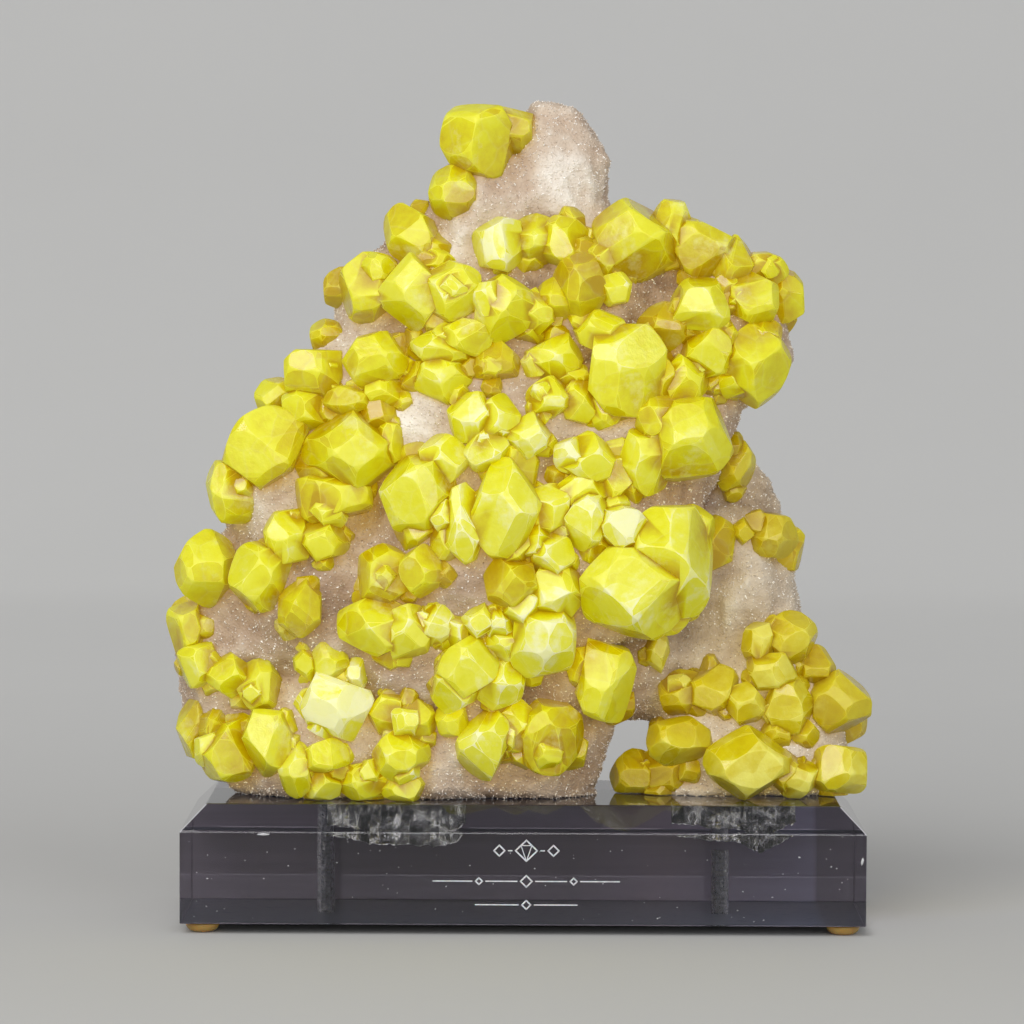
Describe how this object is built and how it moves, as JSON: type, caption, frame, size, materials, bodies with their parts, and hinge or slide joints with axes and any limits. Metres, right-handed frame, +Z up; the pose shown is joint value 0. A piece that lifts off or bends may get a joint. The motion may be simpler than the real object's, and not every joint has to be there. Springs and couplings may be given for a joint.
{
  "type": "sulfur crystal specimen",
  "caption": "Yellow sulfur crystals on a pale drusy stone matrix, standing upright in a bevelled smoky acrylic display block with small bumper feet.",
  "frame": {"origin": "middle of the whole footprint, at table level under the feet", "axes": "+Z up, -Y towards the front that shows the crystals, +X to the right as seen from the front"},
  "size_m": [0.2136, 0.0844, 0.247],
  "materials": {
    "sulfur": "translucent crystal faces, vitreous to resinous, with frosted and chipped patches",
    "matrix": "pinkish beige, drusy and sparkling",
    "acrylic": "smoky, polished, with rough seats for the rock",
    "clear_rod": "clear rod in a drilled hole",
    "bumper": "amber polyurethane dome"
  },
  "bodies": {
    "root": {"acrylic_block": "acrylic", "back_crystals_1": "sulfur", "back_crystals_2": "sulfur", "back_crystals_3": "sulfur", "back_crystals_4": "sulfur", "centre_crystals_1": "sulfur", "crown_crystals_1": "sulfur", "fixing_pin_left": "clear_rod", "fixing_pin_right": "clear_rod", "foot_back_left": "bumper", "foot_back_right": "bumper", "foot_front_left": "bumper", "foot_front_right": "bumper", "left_crystals_1": "sulfur", "left_crystals_2": "sulfur", "left_crystals_3": "sulfur", "left_crystals_4": "sulfur", "left_side_crystals_1": "sulfur", "left_side_crystals_2": "sulfur", "lower_left_crystals_1": "sulfur", "matrix": "matrix", "right_side_crystals_1": "sulfur", "right_side_crystals_2": "sulfur", "slab_crystals_1": "sulfur", "slab_crystals_2": "sulfur", "slab_crystals_3": "sulfur", "slab_crystals_4": "sulfur", "slab_crystals_5": "sulfur", "upper_left_crystals_1": "sulfur"}
  },
  "joints": []
}
